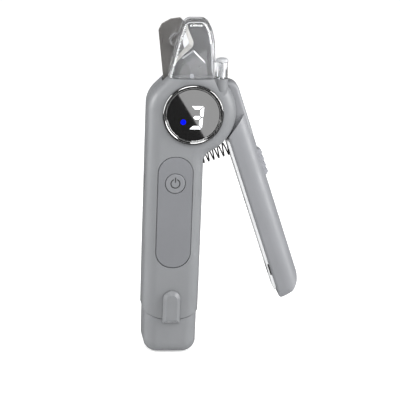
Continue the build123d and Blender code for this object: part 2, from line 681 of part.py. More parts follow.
def grinding_drum():
    """Abrasive sleeve."""
    high = DRUM_LOW_Z + DRUM_LENGTH
    sleeve = column(0, 0, DRUM_DIAMETER, DRUM_LOW_Z, high)
    sleeve = fillet(sleeve.edges(), 0.6)
    return sleeve - column(0, 0, DRUM_BORE, DRUM_LOW_Z - 1, high + 1)


def drum_screw():
    top = DRUM_LOW_Z + 1.4
    low = DRUM_LOW_Z + 0.4
    head = column(0, 0, 6.5, low - 1.2, low) - block(-3, 3, -0.4, 0.4, low - 1.3, low - 0.6)
    return head + column(0, 0, SCREW_DIAMETER, low, top)


def lamp_pod():
    """Raised pod on the front, over the seam, for the grinding lamp."""
    half = POD_WIDTH / 2
    side_top = POD_HIGH_Z - half
    outline = make_face([
        Line((-half, POD_LOW_Z), (half, POD_LOW_Z)),
        Line((half, POD_LOW_Z), (half, side_top)),
        RadiusArc((half, side_top), (-half, side_top), -half),
        Line((-half, side_top), (-half, POD_LOW_Z)),
    ])
    pod = slab(outline, FRONT - POD_PROUD, FRONT)
    pod = chamfer(pod.faces().sort_by(Axis.Y)[0].edges(), POD_BEVEL)
    room = Rectangle(POD_WIDTH - 2 * POD_WALL, side_top - POD_LOW_Z)
    pod -= slab(Pos(0, (POD_LOW_Z + side_top) / 2 - 1) * room, POD_INSIDE, FRONT + 1)
    return pod - block(-HALF, HALF, FRONT - MOVING_GAP, FRONT + 1, 0, SEAM_Z + 0.8)


def lamp_lens():
    """Lens in the pod's lower mouth."""
    low = POD_LOW_Z + 0.3
    half = POD_WIDTH / 2 - POD_WALL - SEAT_FIT
    return block(-half, half, POD_INSIDE + SEAT_FIT, FRONT - MOVING_GAP - SEAT_FIT, low, low + 2.2)


def lamp_board():
    low = POD_LOW_Z + 4
    half = POD_WIDTH / 2 - POD_WALL - 4 * SEAT_FIT
    front = POD_INSIDE + MOVING_GAP
    board = block(-half, half, front, front + LAMP_BOARD, low, low + 8)
    return board + block(-1.4, 1.4, front, front + LAMP_BOARD, low - 1.2, low)


# ---- blades ----------------------------------------------------------------------------------------
def fixed_blade_outline():
    """Blade with its notch open to the left; the notch edge is ground."""
    return make_face(Polyline(
        (-2.0, HEAD_Z + 9),
        (-3.2, TIP_Z - 24.4),
        (6.6, TIP_Z - 14.7),
        (3.4, TIP_Z - 7.4),
        (5.0, TIP_Z - 3.2),
        (12.8, TIP_Z - 3.0),
        (16.6, TIP_Z - 6.4),
        (19.4, TIP_Z - 21.8),
        (19.8, HEAD_TOP + 0.6),
        (19.4, HEAD_TOP - 2.0),
        (16.2, HEAD_Z + 14.2),
        (15.6, HEAD_Z + 9),
        close=True,
    ))


def fixed_blade():
    outline = fixed_blade_outline()
    apex = outline.vertices().sort_by_distance((6.6, TIP_Z - 14.7))[0]
    outline = fillet(apex, 2.0)
    top = [outline.vertices().sort_by_distance(p)[0]
           for p in ((5.0, TIP_Z - 3.2), (12.8, TIP_Z - 3.0), (16.6, TIP_Z - 6.4))]
    outline = fillet(top, 2.0)
    blade = slab(outline, FIXED_BLADE_FRONT, FIXED_BLADE_BACK)
    front = blade.faces().sort_by(Axis.Y)[0]
    middle = Vector(3.5, FIXED_BLADE_FRONT, TIP_Z - 15.6)
    ground = front.edges().sort_by_distance(middle)[0:3]
    blade = chamfer(ground, length=BEVEL_WIDTH, length2=BEVEL_DEPTH, reference=front)
    for x, z in BLADE_SCREWS:
        blade -= rod(x, z, SCREW_DIAMETER, FIXED_BLADE_FRONT - 1, FIXED_BLADE_BACK + 1)
    return blade


def blade_holder():
    """Steel plate behind the display: carries the fixed blade and the front of the pivot pin."""
    outline = make_face(Polyline(
        (HEAD_X - 17.5, HEAD_Z + 8.3),
        (HEAD_X - 12.2, HEAD_Z + 15.6),
        (HEAD_X + 6.6, HEAD_Z + 15.6),
        (HEAD_X + 11.5, HEAD_Z + 6),
        (HEAD_X + 9.0, HEAD_Z - 8),
        (HEAD_X - 4.0, HEAD_Z - 14.5),
        (HEAD_X - 18.0, HEAD_Z - 14.5),
        (HEAD_X - 18.0, HEAD_Z - 6.5),
        (HEAD_X - 15.6, HEAD_Z - 3),
        close=True,
    ))
    outline = fillet(outline.vertices(), 1.5)
    plate = slab(outline, HOLDER_FRONT, FIXED_BLADE_FRONT)
    plate -= rod(HEAD_X, HEAD_Z, PIN_DIAMETER, HOLDER_FRONT - 1, FIXED_BLADE_FRONT + 1)
    for x, z in BLADE_SCREWS + HOLDER_SCREWS:
        plate -= rod(x, z, SCREW_DIAMETER, HOLDER_FRONT - 1, FIXED_BLADE_FRONT + 1)
    return plate


def holder_screws():
    """Two screws from behind the holder into the front shell's posts."""
    seat = FIXED_BLADE_FRONT
    screws = []
    for x, z in HOLDER_SCREWS:
        screws.append(rod(x, z, SCREW_HEAD, seat, seat + 1.0) + rod(x, z, SCREW_DIAMETER, seat - 6, seat))
    return screws


def nail_stop():
    """Moulded rest in front of the fixed blade that keeps the nail from going in too far."""
    outline = make_face(Polyline(
        (8.4, TIP_Z - 17.6),
        (14.6, TIP_Z - 23.7),
        (15.6, TIP_Z - 27.4),
        (16.2, HEAD_TOP + 0.2),
        (7.6, HEAD_TOP + 0.2),
        (7.0, TIP_Z - 27.2),
        (2.4, TIP_Z - 22.1),
        close=True,
    ))
    stop = slab(outline, HOLDER_FRONT, FIXED_BLADE_FRONT)
    front = stop.faces().sort_by(Axis.Y)[0]
    stop = chamfer(front.edges().sort_by(Axis.Z)[-2:], 0.7)
    return stop - rod(*STOP_SCREW, SCREW_DIAMETER, HOLDER_FRONT - 1, FIXED_BLADE_FRONT + 1)


def moving_blade():
    """Paddle blade on the lever, behind the fixed one, with a round notch open to the right."""
    outline = make_face(Polyline(
        (-4.6, HEAD_Z + 8.5),
        (-7.0, HEAD_TOP - 0.8),
        (-10.1, TIP_Z - 8.0),
        (-8.4, TIP_Z - 4.6),
        (-3.6, TIP_Z - 1.9),
        (1.4, TIP_Z - PADDLE_DROP),
        (5.4, TIP_Z - 5.0),
        (7.2, TIP_Z - 16),
        (8.0, HEAD_TOP),
        (9.4, HEAD_Z + 8.5),
        close=True,
    ))
    soft = [outline.vertices().sort_by_distance(p)[0]
            for p in ((-10.1, TIP_Z - 8.0), (-8.4, TIP_Z - 4.6), (-3.6, TIP_Z - 1.9))]
    outline = fillet(soft, 2.6)
    outline -= Pos(10.6, TIP_Z - 13.0) * Circle(8.0)
    blade = slab(outline, MOVING_BLADE_FRONT, MOVING_BLADE_BACK)
    for x, z in RIVETS:
        blade -= rod(x, z, RIVET_DIAMETER, MOVING_BLADE_FRONT - 1, MOVING_BLADE_BACK + 1)
    return blade


def blade_rivets():
    return [rod(x, z, RIVET_DIAMETER, MOVING_BLADE_FRONT + 0.2, ARM_BACK)
            + rod(x, z, RIVET_DIAMETER + 1.2, ARM_BACK, ARM_BACK + 0.5) for x, z in RIVETS]


# ---- pivot -------------------------------------------------------------------------------------------
def pivot_pin():
    head = rod(HEAD_X, HEAD_Z, PIN_DIAMETER + 3, HOLDER_FRONT - 1.4, HOLDER_FRONT)
    return head + rod(HEAD_X, HEAD_Z, PIN_DIAMETER, HOLDER_FRONT, BACK - WALL - 0.2)


def pivot_bush():
    """Bronze bush pressed in the lever arm."""
    outer = PIN_DIAMETER + 2 * BUSH_WALL
    bush = rod(HEAD_X, HEAD_Z, outer, MOVING_BLADE_BACK, ARM_BACK)
    return bush - rod(HEAD_X, HEAD_Z, PIN_DIAMETER + 2 * RUNNING_FIT, 0, ARM_BACK + 1)


def pivot_washers():
    """Plain washers each side of the lever arm, still on the pin."""
    outer = PIN_DIAMETER + 2 * BUSH_WALL + 1.4
    spans = [(FIXED_BLADE_FRONT, MOVING_BLADE_BACK - MOVING_GAP), (ARM_BACK + 0.3, PIN_BOSS_FRONT)]
    return [rod(HEAD_X, HEAD_Z, outer, a, b) - rod(HEAD_X, HEAD_Z, PIN_DIAMETER, a - 1, b + 1)
            for a, b in spans]


# ---- lever -------------------------------------------------------------------------------------------
def grip_outline(inner, inset):
    """Front view of the full-depth part of the lever: below the shoulder that clears the head."""
    low = -LEVER_LENGTH + inset
    outer = LEVER_OUTER - inset
    slope = (SHOULDER_OUT - SHOULDER_IN) / (LEVER_OUTER - LEVER_INNER)
    start = SHOULDER_IN + slope * (inner - LEVER_INNER) - 1.2 * inset
    end = SHOULDER_IN + slope * (outer - LEVER_INNER) - 1.2 * inset
    heel_z = low + HEEL_RISE
    face = make_face(Polyline((inner, start), (outer, end), (outer, heel_z), (inner, low),
                              close=True))
    heel = face.vertices().sort_by_distance((outer, heel_z))[0]
    face = fillet(heel, HEEL_RADIUS - inset)
    toe = face.vertices().sort_by_distance((inner, low))[0]
    return fillet(toe, TOE_RADIUS)


def grip_section():
    """Bar with the grip's cross-section: well rounded along the outer edge."""
    face = make_face(Polyline((LEVER_FACE, -LEVER_HALF), (LEVER_OUTER, -LEVER_HALF),
                              (LEVER_OUTER, LEVER_HALF), (LEVER_FACE, LEVER_HALF), close=True))
    back = [face.vertices().sort_by_distance((LEVER_OUTER, y))[0] for y in (-LEVER_HALF, LEVER_HALF)]
    face = fillet(back, LEVER_BACK_ROUND)
    front = [face.vertices().sort_by_distance((LEVER_FACE, y))[0] for y in (-LEVER_HALF, LEVER_HALF)]
    face = fillet(front, LEVER_FRONT_ROUND)
    return Pos(0, 0, -FAR) * extrude(face, amount=2 * FAR)


def grip_side():
    """Bar with the grip's side view: its lower end rounded front to back."""
    face = Pos(0, -LEVER_LENGTH + FAR / 2) * Rectangle(LEVER_DEPTH, FAR)
    face = fillet(face.vertices().group_by(Axis.Y)[0], LEVER_END_ROUND)
    return extrude(Plane.YZ * face, amount=FAR)


def lever_shell():
    """Moulded channel: closed at the outer edge, open to the inner cover, with the thin tongue."""
    grip = slab(grip_outline(LEVER_FACE, 0), -LEVER_HALF, LEVER_HALF)
    grip = grip & grip_section() & grip_side()
    tongue = slab(tongue_outline(0), -TONGUE_HALF, TONGUE_HALF)
    tongue = fillet([edge for edge in tongue.edges() if on_tongue_rim(edge)], TONGUE_ROUND)
    hollow = slab(grip_outline(LEVER_FACE - 4, LEVER_WALL), -LEVER_HALF + LEVER_WALL,
                  LEVER_HALF - LEVER_WALL)
    hollow &= below(MOVING_GAP - SPRING_DROP + SPRING_CUP / 2)
    ledge = slab(Pos(LEVER_INNER - 8, -60) * Rectangle(16 + 2 * COVER_THICKNESS, 300), -30, 30)
    corner = LEVER_BACK_ROUND - LEVER_WALL
    inside = block(LEVER_FACE - 5, LEVER_OUTER - LEVER_WALL, -LEVER_HALF + LEVER_WALL,
                   LEVER_HALF - LEVER_WALL, -LEVER_LENGTH, 0)
    outer = [edge for edge in inside.edges().filter_by(Axis.Z) if edge.center().X > LEVER_FACE]
    hollow &= fillet(outer, corner)
    shell = grip + (tongue - ledge) - hollow
    for z in LEVER_SCREWS:
        shell += lever_post(z)
    shell -= slab(arm_in_lever(RUNNING_FIT), MOVING_BLADE_BACK - 0.05, ARM_BACK + 0.05)
    return hang_on_lever(shell - pad_seat())


def on_tongue_rim(edge):
    """True for the edges of the tongue's two faces along its outer side and its top."""
    middle = edge @ 0.5
    on_face = abs(abs(middle.Y) - TONGUE_HALF) < 0.01
    return on_face and (middle.X > LEVER_OUTER - 3 or middle.Z > LEVER_TOP - 0.01)


def lever_post(z):
    """Post from the outer wall that takes one of the inner cover's screws."""
    reach = LEVER_OUTER - LEVER_WALL / 2 - LEVER_FACE
    post = Pos(LEVER_FACE + reach / 2, 0, z) * Rot(0, 90, 0) * Cylinder(2.6, reach)
    return post - lever_screw_bar(z, SCREW_DIAMETER, LEVER_FACE - 1, LEVER_FACE + 9)


def lever_screw_bar(z, diameter, start, end):
    return Pos((start + end) / 2, 0, z) * Rot(0, 90, 0) * Cylinder(diameter / 2, end - start)


def cover_outline():
    low = -LEVER_LENGTH + COVER_END
    height = SHOULDER_IN - low
    return Pos(0, low + height / 2) * RectangleRounded(COVER_WIDTH, height, 3.0)


def lever_cover():
    """Flat inner cover of the lever, with the cup for the spring."""
    plate = extrude(Plane.YZ * cover_outline(), amount=COVER_THICKNESS)
    plate = Pos(LEVER_INNER, 0, 0) * plate
    plate = fillet(plate.faces().sort_by(Axis.X)[0].edges(), 0.5)
    cup_end = LEVER_INNER + SPRING_IN_LEVER
    cup = Pos((LEVER_INNER + 0.7 + cup_end + 1.0) / 2, 0, -SPRING_DROP) * Rot(0, 90, 0)
    cup *= Cylinder(SPRING_CUP / 2, cup_end + 1.0 - LEVER_INNER - 0.7)
    hole = lever_screw_bar(-SPRING_DROP, SPRING_POCKET, LEVER_INNER - 2, cup_end)
    cover = plate + cup - hole
    cover -= slab(arm_in_lever(RUNNING_FIT), MOVING_BLADE_BACK - 0.05, ARM_BACK + 0.05)
    for z in LEVER_SCREWS:
        cover -= lever_screw_bar(z, SCREW_DIAMETER + 0.2, LEVER_INNER - 1, LEVER_FACE + 1)
        cover -= lever_screw_bar(z, SCREW_HEAD + 0.2, LEVER_INNER - 1, LEVER_INNER + 0.7)
    return hang_on_lever(cover - bump_form())


def lever_screws():
    screws = []
    for z in LEVER_SCREWS:
        head = lever_screw_bar(z, SCREW_HEAD, LEVER_INNER - 0.1, LEVER_INNER + 0.7)
        shank = lever_screw_bar(z, SCREW_DIAMETER, LEVER_INNER + 0.7, LEVER_FACE + 8)
        slot = Pos(LEVER_INNER, 0, z) * Box(0.8, 2.8, 0.6)
        screws.append(hang_on_lever(head + shank - slot))
    return screws


def bump_form():
    """Rubber buffer: a bar under the inner cover with a block that stands out of its middle."""
    low = BUMP_Z - BUMP_HEIGHT / 2
    high = BUMP_Z + BUMP_HEIGHT / 2
    bar = block(LEVER_FACE - BUMP_DEPTH, LEVER_FACE, -COVER_WIDTH / 2, COVER_WIDTH / 2, low, high)
    middle = block(LEVER_INNER - BUMP_PROUD, LEVER_FACE, -BUMP_WIDTH / 2, BUMP_WIDTH / 2, low, high)
    return bar + middle


def bump_stop():
    return hang_on_lever(bump_form())


def arm_in_lever(grow):
    """Lower limb of the lever arm, in the lever's frame."""
    left = LEVER_FACE + 4.6 - grow
    right = LEVER_OUTER - LEVER_WALL - 1.4 + grow
    limb = make_face(Polyline(
        (0, 6 + grow),
        (right - 6, 4 + grow),
        (right, -4),
        (right, ARM_END - grow),
        (left, ARM_END - grow),
        (left, -24),
        (0, -6 - grow),
        close=True,
    ))
    return limb


def lever_arm():
    """Steel arm that joins the moving blade, the pivot and the lever."""
    lower = slab(arm_in_lever(0), MOVING_BLADE_BACK, ARM_BACK)
    arm = hang_on_lever(lower)
    arm += rod(HEAD_X, HEAD_Z, 2 * HUB_RADIUS, MOVING_BLADE_BACK, ARM_BACK)
    upper = make_face(Polyline(
        (HEAD_X + HUB_RADIUS - 0.5, HEAD_Z),
        (8.8, HEAD_TOP - 2),
        (-5.0, HEAD_TOP - 2),
        (HEAD_X - HUB_RADIUS + 0.5, HEAD_Z),
        close=True,
    ))
    arm += slab(upper, MOVING_BLADE_BACK, ARM_BACK)
    outer = PIN_DIAMETER + 2 * BUSH_WALL
    arm -= rod(HEAD_X, HEAD_Z, outer, 0, ARM_BACK + 1)
    for x, z in RIVETS:
        arm -= rod(x, z, RIVET_DIAMETER, 0, ARM_BACK + 1)
    return arm


def pad_seat():
    """Shallow seat for the grip pad in the lever's outer edge."""
    middle = (PAD_HIGH + PAD_LOW) / 2
    return Pos(LEVER_OUTER, 0, middle) * Box(PAD_SEAT, PAD_WIDTH, PAD_HIGH - PAD_LOW)


def grip_pad():
    """Soft pad with four low ridges on the lever's outer edge."""
    ridges = 4
    pitch = (PAD_HIGH - PAD_LOW) / ridges
    pad = pad_seat()
    for step in range(ridges):
        z = PAD_LOW + pitch * (step + 0.5)
        bar = Pos(LEVER_OUTER + 0.1, 0, z) * Rot(90, 0, 0) * Cylinder(pitch / 2.4, PAD_WIDTH)
        pad += bar & block(LEVER_OUTER, FAR, -FAR, FAR, -FAR, FAR)
    return hang_on_lever(pad)


# ---- spring ------------------------------------------------------------------------------------------
def spring():
    clearance = 0.1
    radius = (SPRING_DIAMETER - SPRING_WIRE) / 2
    length = SPRING_END - SPRING_START - SPRING_WIRE - 2 * clearance
    path = Helix(SPRING_PITCH, length, radius)
    section = Plane(path @ 0, z_dir=path % 0) * Circle(SPRING_WIRE / 2)
    coil = sweep(section, path, is_frenet=True)
    start = SPRING_START + SPRING_WIRE / 2 + clearance
    return hang_on_lever(Pos(start, 0, -SPRING_DROP) * Rot(0, 90, 0) * coil)


# ---- clear cover and head lamp -------------------------------------------------------------------------
def shield_outline(inset):
    """Front view of the clear cover, run on below its open base."""
    base = HEAD_TOP - 5
    face = make_face(Polyline(
        (-6.4, base),
        (-0.8, TIP_Z - 12.7),
        (1.0, TIP_Z - 6),
        (2.8, TIP_Z),
        (14.8, TIP_Z),
        (17.8, TIP_Z - 6),
        (19.2, TIP_Z - 12.5),
        (20.9, base),
        close=True,
    ))
    tops = [face.vertices().sort_by_distance(p)[0] for p in ((2.8, TIP_Z), (14.8, TIP_Z))]
    face = fillet(tops, 5.0)
    return face if inset == 0 else offset(face, -inset)


def shield_shape(inset):
    shape = slab(shield_outline(inset), SHIELD_FRONT + inset, SHIELD_BACK + inset)
    front = shape.faces().sort_by(Axis.Y)[0]
    return fillet(front.edges(), 5.0 - inset)


def splash_cover():
    """Clear half dome in front of the blades, with a finger tab and a hinge barrel."""
    base = HEAD_TOP + MOVING_GAP
    dome = shield_shape(0) - shield_shape(SHIELD_WALL)
    dome -= slab(shield_outline(SHIELD_WALL), SHIELD_BACK - 2 * SHIELD_WALL, SHIELD_BACK + 1)
    barrel = column(HINGE_X, HINGE_Y, BARREL_DIAMETER, base, base + BARREL_HEIGHT)
    web = block(HINGE_X - 5.5, HINGE_X, HINGE_Y - 1.6, HINGE_Y + 1.6, base, base + BARREL_HEIGHT)
    tab = slab(Pos(-0.4, TIP_Z - 12.5) * (Circle(4.2) - Circle(3.1)), SHIELD_BACK - 1.6, SHIELD_BACK)
    tab -= slab(shield_outline(0), -30, 30)
    cover = dome + (web - shield_shape(SHIELD_WALL)) + barrel + tab
    cover &= above(base)
    return cover - column(HINGE_X, HINGE_Y, HINGE_PIN_DIAMETER + 2 * RUNNING_FIT, base - 1, base + 30)


def hinge_pin():
    return column(HINGE_X, HINGE_Y, HINGE_PIN_DIAMETER, HEAD_TOP - 9,
                  HEAD_TOP + MOVING_GAP + BARREL_HEIGHT + 1.0)


def hinge_cap():
    """Frosted cap pressed on the top of the hinge pin."""
    low = HEAD_TOP + 2 * MOVING_GAP + BARREL_HEIGHT
    cap = column(HINGE_X, HINGE_Y, BARREL_DIAMETER + 0.3, low, low + HINGE_CAP_HEIGHT)
    cap = fillet(cap.faces().sort_by(Axis.Z)[-1].edges(), 1.2)
    return cap - column(HINGE_X, HINGE_Y, HINGE_PIN_DIAMETER, low - 1, HEAD_TOP + MOVING_GAP
                        + BARREL_HEIGHT + 1.0)


def head_lamp():
    """Small lamp standing in the head top inside the clear cover."""
    lamp = column(LAMP_X, LAMP_Y, LAMP_DIAMETER, HEAD_TOP - 4, HEAD_TOP + LAMP_HEIGHT)
    return fillet(lamp.faces().sort_by(Axis.Z)[-1].edges(), 0.6)


NODES = {
    "front_shell": front_shell,
    "rear_shell": rear_shell,
    "shell_screws": shell_screws,
    "control_panel": control_panel,
    "power_button": power_button,
    "button_switch": button_switch,
    "main_board": main_board,
    "board_chips": board_chips,
    "battery": battery,
    "charge_port": charge_port,
    "charge_board": charge_board,
    "display_bezel": display_bezel,
    "display_glass": display_glass,
    "lit_digit": lit_digit,
    "status_dot": status_dot,
    "display_carrier": display_carrier,
    "display_board": display_board,
    "bottom_cap": bottom_cap,
    "motor_mount": motor_mount,
    "motor": motor,
    "motor_shaft": motor_shaft,
    "drum_hub": drum_hub,
    "grinding_drum": grinding_drum,
    "drum_screw": drum_screw,
    "lamp_pod": lamp_pod,
    "lamp_lens": lamp_lens,
    "lamp_board": lamp_board,
    "fixed_blade": fixed_blade,
    "blade_holder": blade_holder,
    "holder_screws": holder_screws,
    "nail_stop": nail_stop,
    "moving_blade": moving_blade,
    "blade_rivets": blade_rivets,
    "pivot_pin": pivot_pin,
    "pivot_bush": pivot_bush,
    "pivot_washers": pivot_washers,
    "lever_shell": lever_shell,
    "lever_cover": lever_cover,
    "lever_screws": lever_screws,
    "bump_stop": bump_stop,
    "lever_arm": lever_arm,
    "grip_pad": grip_pad,
    "spring": spring,
    "splash_cover": splash_cover,
    "hinge_pin": hinge_pin,
    "hinge_cap": hinge_cap,
    "head_lamp": head_lamp,
}

os.makedirs("parts", exist_ok=True)
for name, make in NODES.items():
    made = make()
    save(name, *(made if isinstance(made, list) else [made]))
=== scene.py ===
from math import cos, pi, radians, sin

import bmesh
import bpy
from mathutils import Matrix, Vector


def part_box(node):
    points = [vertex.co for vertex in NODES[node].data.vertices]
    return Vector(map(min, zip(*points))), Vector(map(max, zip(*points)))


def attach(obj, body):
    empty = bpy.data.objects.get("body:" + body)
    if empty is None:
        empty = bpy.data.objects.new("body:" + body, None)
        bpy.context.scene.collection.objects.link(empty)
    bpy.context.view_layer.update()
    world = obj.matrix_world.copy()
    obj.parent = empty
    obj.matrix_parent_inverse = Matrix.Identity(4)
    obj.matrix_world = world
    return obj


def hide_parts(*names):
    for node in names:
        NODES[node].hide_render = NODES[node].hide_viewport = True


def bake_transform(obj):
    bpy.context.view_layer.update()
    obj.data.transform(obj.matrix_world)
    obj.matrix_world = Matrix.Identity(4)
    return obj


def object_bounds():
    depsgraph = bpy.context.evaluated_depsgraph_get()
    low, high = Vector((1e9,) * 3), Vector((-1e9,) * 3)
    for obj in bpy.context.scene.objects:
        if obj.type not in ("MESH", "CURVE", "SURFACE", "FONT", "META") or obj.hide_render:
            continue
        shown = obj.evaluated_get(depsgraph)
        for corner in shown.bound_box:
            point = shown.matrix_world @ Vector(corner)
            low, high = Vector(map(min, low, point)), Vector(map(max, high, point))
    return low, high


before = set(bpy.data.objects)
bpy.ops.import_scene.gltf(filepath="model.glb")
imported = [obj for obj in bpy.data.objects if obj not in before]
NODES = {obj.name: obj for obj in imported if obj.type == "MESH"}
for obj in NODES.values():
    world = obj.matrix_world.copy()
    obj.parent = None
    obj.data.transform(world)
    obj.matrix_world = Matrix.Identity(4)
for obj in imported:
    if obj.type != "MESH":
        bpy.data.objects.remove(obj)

# Looks of the cordless pet nail clipper and grinder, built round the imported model.
# Everything is in metres, +Z up the body, the front faces -Y and the lever is at +X.

CAD_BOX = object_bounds()
MM = 0.001


# ---- shader building ----------------------------------------------------------------------
class Shader:
    """A node material under construction: short calls for the nodes that the finishes share."""

    def __init__(self, material):
        self.material = material
        self.tree = material.node_tree
        self.nodes = self.tree.nodes
        self.surface = self.nodes["Principled BSDF"]
        self.place = self.nodes["Texture Coordinate"].outputs["Object"]

    @classmethod
    def named(cls, name):
        """Start a new material."""
        material = bpy.data.materials.new(name)
        material.use_nodes = True
        material.node_tree.nodes.new("ShaderNodeTexCoord")
        return cls(material)

    def link(self, output, socket):
        self.tree.links.new(output, socket)

    def scaled(self, scale=(1, 1, 1), turn=(0, 0, 0), shift=(0, 0, 0)):
        """Object coordinates moved, turned and scaled."""
        mapping = self.nodes.new("ShaderNodeMapping")
        mapping.inputs["Scale"].default_value = scale
        mapping.inputs["Rotation"].default_value = turn
        mapping.inputs["Location"].default_value = shift
        self.link(self.place, mapping.inputs["Vector"])
        return mapping.outputs["Vector"]

    def noise(self, scale, detail=3.0, roughness=0.5, vector=None):
        node = self.nodes.new("ShaderNodeTexNoise")
        node.inputs["Scale"].default_value = scale
        node.inputs["Detail"].default_value = detail
        node.inputs["Roughness"].default_value = roughness
        self.link(vector or self.place, node.inputs["Vector"])
        return node.outputs["Fac"]

    def ramp(self, value, low, high, start=0.0, end=1.0):
        """Map a value between two limits to a new range."""
        node = self.nodes.new("ShaderNodeMapRange")
        node.inputs["From Min"].default_value = start
        node.inputs["From Max"].default_value = end
        node.inputs["To Min"].default_value = low
        node.inputs["To Max"].default_value = high
        self.link(value, node.inputs["Value"])
        return node.outputs["Result"]

    def blend_colours(self, factor, first, second):
        node = self.nodes.new("ShaderNodeMix")
        node.data_type = "RGBA"
        node.inputs["A"].default_value = (*first, 1)
        node.inputs["B"].default_value = (*second, 1)
        self.link(factor, node.inputs["Factor"])
        return node.outputs["Result"]

    def maths(self, operation, first, second=0.5, third=0.5):
        node = self.nodes.new("ShaderNodeMath")
        node.operation = operation
        for socket, value in zip(node.inputs, (first, second, third)):
            if isinstance(value, (int, float)):
                socket.default_value = value
            else:
                self.link(value, socket)
        return node.outputs["Value"]

    def axes(self):
        """The three object coordinates."""
        node = self.nodes.new("ShaderNodeSeparateXYZ")
        self.link(self.place, node.inputs["Vector"])
        return [node.outputs[axis] for axis in "XYZ"]

    def near(self, value, centre, half, soft):
        """1 where a value is within half of the centre, fading out over the soft edge."""
        away = self.maths("ABSOLUTE", self.maths("SUBTRACT", value, centre))
        return self.ramp(away, 1, 0, half, half + soft)

    def tint(self, factor, colour):
        """Lay a colour over the base colour where the factor is 1."""
        base = self.surface.inputs["Base Color"]
        node = self.nodes.new("ShaderNodeMix")
        node.data_type = "RGBA"
        self.link(factor, node.inputs["Factor"])
        self.link(base.links[0].from_socket, node.inputs["A"])
        node.inputs["B"].default_value = (*colour, 1)
        self.link(node.outputs["Result"], base)

    def bump(self, height, strength, distance):
        node = self.nodes.new("ShaderNodeBump")
        node.inputs["Strength"].default_value = strength
        node.inputs["Distance"].default_value = distance
        self.link(height, node.inputs["Height"])
        self.link(node.outputs["Normal"], self.surface.inputs["Normal"])


def grey(level, warm=0.0):
    """Grey a little warmer or cooler."""
    return (level * (1 + warm), level, level * (1 - warm))


def moulded(name, colour, roughness, grain=2200, depth=0.35):
    """Moulded plastic: fine spark-eroded grain, faint clouding and uneven gloss."""
    shader = Shader.named(name)
    cloud = shader.noise(45, 4)
    darker = tuple(channel * 0.94 for channel in colour)
    shader.link(shader.blend_colours(shader.ramp(cloud, 0, 1, 0.35, 0.65), darker, colour),
                shader.surface.inputs["Base Color"])
    patch = shader.noise(160, 3)
    shader.link(shader.ramp(patch, roughness - 0.05, roughness + 0.06, 0.3, 0.7),
                shader.surface.inputs["Roughness"])
    shader.bump(shader.noise(grain, 2), depth, 0.00004)
    return shader.material


def metal(name, colour, roughness, stretch=(1, 1, 1), streaks=900, depth=0.2, metallic=1.0):
    """Metal with fine grinding lines: noise stretched along the lines."""
    shader = Shader.named(name)
    lines = shader.noise(streaks, 4, 0.6, shader.scaled(stretch))
    cloud = shader.noise(70, 3)
    dull = tuple(channel * 0.82 for channel in colour)
    shader.link(shader.blend_colours(shader.ramp(cloud, 0, 1, 0.3, 0.7), dull, colour),
                shader.surface.inputs["Base Color"])
    shader.link(shader.ramp(lines, roughness - 0.08, roughness + 0.1, 0.3, 0.7),
                shader.surface.inputs["Roughness"])
    shader.surface.inputs["Metallic"].default_value = metallic
    shader.bump(lines, depth, 0.00003)
    return shader.material


CLEAR_IOR = 1.49
GLASS_IOR = 2.0


def clear(name, tint, roughness, body):
    """Clear moulded plastic with faint flow marks; body is the share of light that it lets in."""
    shader = Shader.named(name)
    flow = shader.noise(60, 2, 0.5, shader.scaled((1, 1, 0.4)))
    pale = tuple(min(1.0, channel * 1.02) for channel in tint)
    shader.link(shader.blend_colours(flow, tint, pale), shader.surface.inputs["Base Color"])
    shader.link(shader.ramp(flow, roughness * 0.6, roughness * 1.5, 0.3, 0.7),
                shader.surface.inputs["Roughness"])
    shader.surface.inputs["Transmission Weight"].default_value = body
    shader.surface.inputs["IOR"].default_value = CLEAR_IOR
    shader.bump(flow, 0.15, 0.0002)
    return shader.material


def glowing(name, colour, strength):
    """Lit diffuser with a faint speckle in its colour."""
    shader = Shader.named(name)
    speck = shader.noise(900, 2)
    dim = tuple(channel * 0.93 for channel in colour)
    shader.link(shader.blend_colours(speck, dim, colour), shader.surface.inputs["Base Color"])
    shader.link(shader.blend_colours(speck, dim, colour), shader.surface.inputs["Emission Color"])
    shader.surface.inputs["Emission Strength"].default_value = strength
    shader.surface.inputs["Specular IOR Level"].default_value = 0.0
    return shader.material


BUTTON_Z = sum(corner.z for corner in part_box("power_button")) / 2
ICON_RADIUS = 2.4 * MM
ICON_HALF_LINE = 0.27 * MM
ICON_HALF_GAP = 0.85 * MM    # gap in the ring for the upright stroke
ICON_STROKE = 2.0 * MM       # height of the stroke's middle
ICON_HALF_STROKE = 1.4 * MM
ICON_FADE = 0.06 * MM


def button_plastic():
    """The panel's plastic with the power mark in its engraved lines."""
    shader = Shader(moulded("button_plastic", (0.164, 0.168, 0.178), 0.42))
    x, _, z = shader.axes()
    z = shader.maths("SUBTRACT", z, BUTTON_Z)
    radius = shader.maths("SQRT", shader.maths("ADD", shader.maths("MULTIPLY", x, x),
                                               shader.maths("MULTIPLY", z, z)))
    ring = shader.near(radius, ICON_RADIUS, ICON_HALF_LINE, ICON_FADE)
    gap = shader.maths("MULTIPLY", shader.near(x, 0.0, ICON_HALF_GAP, ICON_FADE),
                       shader.ramp(z, 0, 1, 0.0, ICON_FADE))
    ring = shader.maths("MULTIPLY", ring, shader.maths("SUBTRACT", 1.0, gap))
    stroke = shader.maths("MULTIPLY", shader.near(x, 0.0, ICON_HALF_LINE, ICON_FADE),
                          shader.near(z, ICON_STROKE, ICON_HALF_STROKE, ICON_FADE))
    shader.tint(shader.maths("MAXIMUM", ring, stroke), grey(0.045))
    return shader.material


HIGHLIGHT_INSET = 0.04 * MM      # the front face keeps its own colour this deep; behind it starts the painted edge highlight
HIGHLIGHT_FADE = 0.02 * MM


